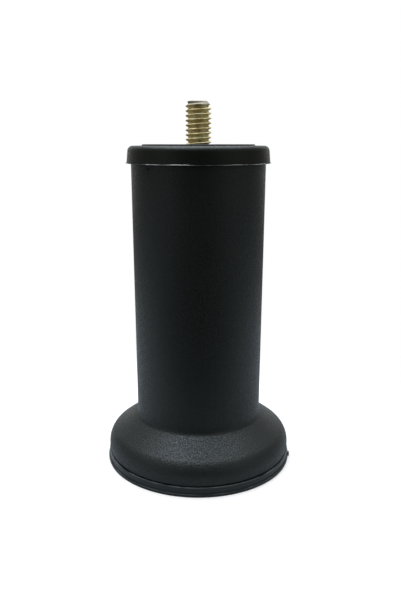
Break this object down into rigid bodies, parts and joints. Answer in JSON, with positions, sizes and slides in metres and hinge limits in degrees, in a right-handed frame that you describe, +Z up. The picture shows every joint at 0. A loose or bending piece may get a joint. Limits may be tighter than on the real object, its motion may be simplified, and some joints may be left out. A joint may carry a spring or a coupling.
{
  "type": "sofa leg",
  "caption": "Round black moulded plastic furniture leg: slightly flared column, bulbous foot with a stepped sole, and a skirted cap with a threaded stud.",
  "frame": {"origin": "on the floor under the stud, at the centre of the sole's underside", "axes": "+Z up along the column and the stud, which is the part's axis of revolution; +X and +Y are any two level directions, with a flat of the stud's head facing +Y"},
  "size_m": [0.0602, 0.0602, 0.1143],
  "materials": {
    "body_plastic": "moulded black polypropylene, fine spark-eroded texture",
    "cap_plastic": "moulded black polypropylene, smoother, satin",
    "plated_steel": "steel with yellow zinc plating, rolled thread",
    "sole_plastic": "moulded black polyethylene, satin"
  },
  "bodies": {
    "root": {"leg_body": "body_plastic", "top_cap": "cap_plastic", "stud": "plated_steel", "sole": "sole_plastic"}
  },
  "joints": []
}
